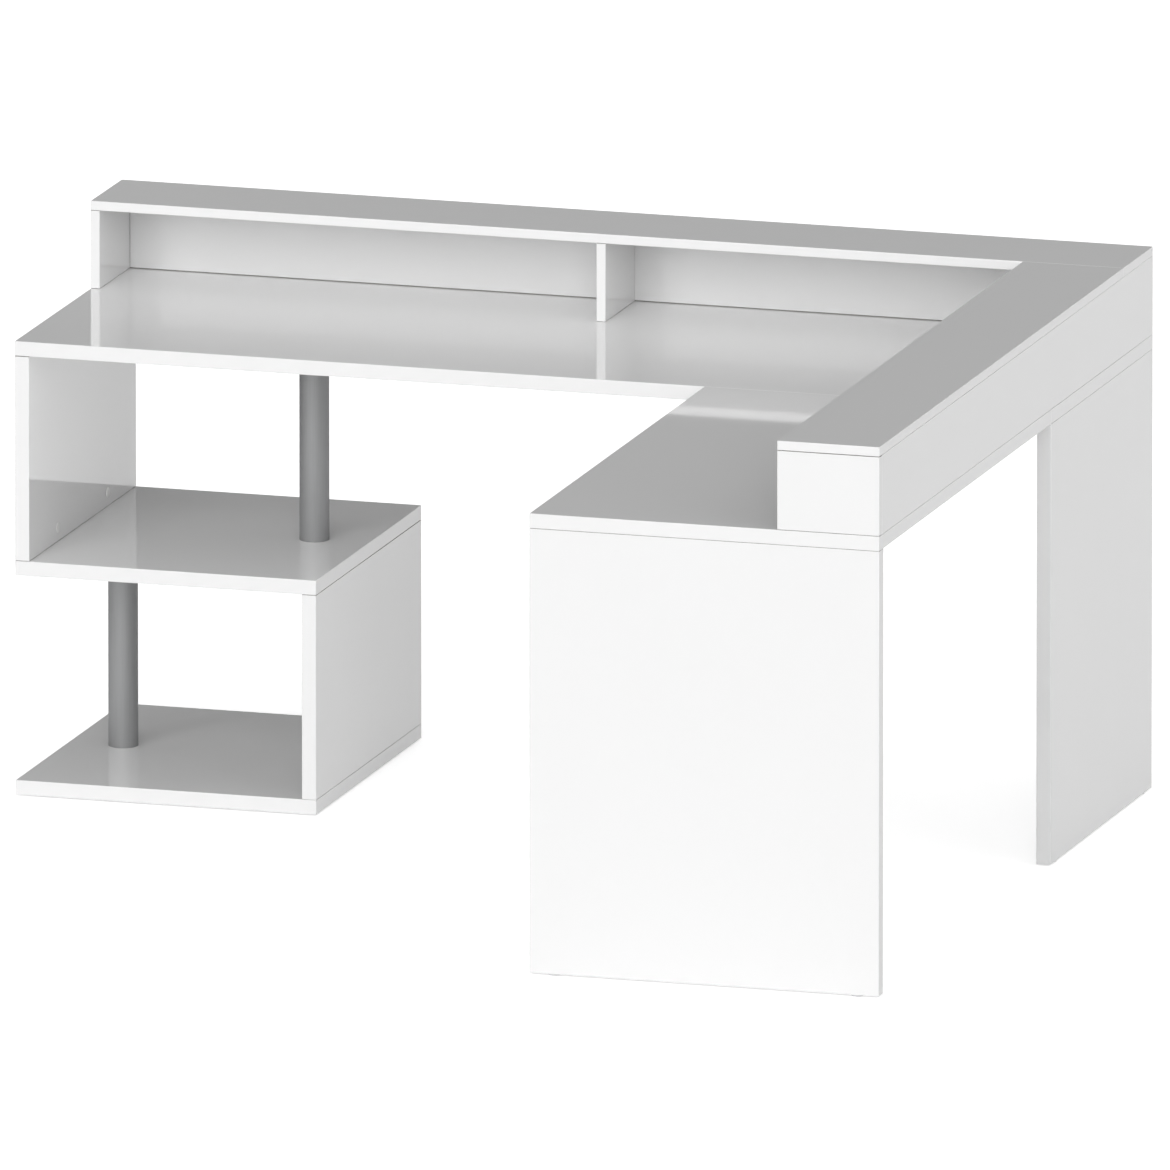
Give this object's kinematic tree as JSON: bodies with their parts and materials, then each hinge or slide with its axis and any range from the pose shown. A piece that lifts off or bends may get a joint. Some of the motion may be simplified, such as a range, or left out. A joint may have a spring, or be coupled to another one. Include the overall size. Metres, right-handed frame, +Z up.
{
  "type": "corner desk",
  "caption": "Gloss white L-shaped corner desk with an S-shaped open shelf tower on round metal posts, panel legs and a low open riser along its wall sides.",
  "frame": {"origin": "on the floor, under the middle of the desk's outline", "axes": "+X along the wall towards the return, +Y towards the wall behind the main worktop, +Z up"},
  "size_m": [1.8, 1.6, 0.928],
  "materials": {
    "white_gloss_board": "high gloss white lacquer on particle board",
    "white_gloss_sheet": "gloss white lacquer on thin fibreboard",
    "satin_grey_metal": "satin",
    "zinc_steel": "zinc plated",
    "white_plastic": "satin",
    "grey_plastic": "matte",
    "beech": "plain, unfinished"
  },
  "bodies": {
    "root": {"main_worktop": "white_gloss_board", "return_worktop": "white_gloss_board", "tower_base": "white_gloss_board", "tower_lower_side": "white_gloss_board", "tower_middle_shelf": "white_gloss_board", "tower_upper_side": "white_gloss_board", "corner_leg_panel": "white_gloss_board", "return_leg_panel": "white_gloss_board", "riser_main_top": "white_gloss_board", "riser_return_top": "white_gloss_board", "riser_left_end": "white_gloss_board", "riser_divider": "white_gloss_board", "riser_front_end": "white_gloss_board", "riser_outer_side": "white_gloss_board", "riser_back_sheet": "white_gloss_sheet", "lower_post_tube": "satin_grey_metal", "upper_post_tube": "satin_grey_metal", "post_end_plugs": "grey_plastic", "post_bolts": "zinc_steel", "post_studs": "zinc_steel", "post_inserts": "zinc_steel", "desk_cam_locks": "zinc_steel", "desk_cam_bolts": "zinc_steel", "desk_cam_caps": "white_plastic", "desk_dowels": "beech", "riser_cam_locks": "zinc_steel", "riser_cam_bolts": "zinc_steel", "riser_cam_caps": "white_plastic", "riser_dowels": "beech", "joining_plates": "zinc_steel", "joining_plate_screws": "zinc_steel", "tower_glides": "grey_plastic", "corner_leg_glides": "grey_plastic", "return_leg_glides": "grey_plastic"}
  },
  "joints": []
}
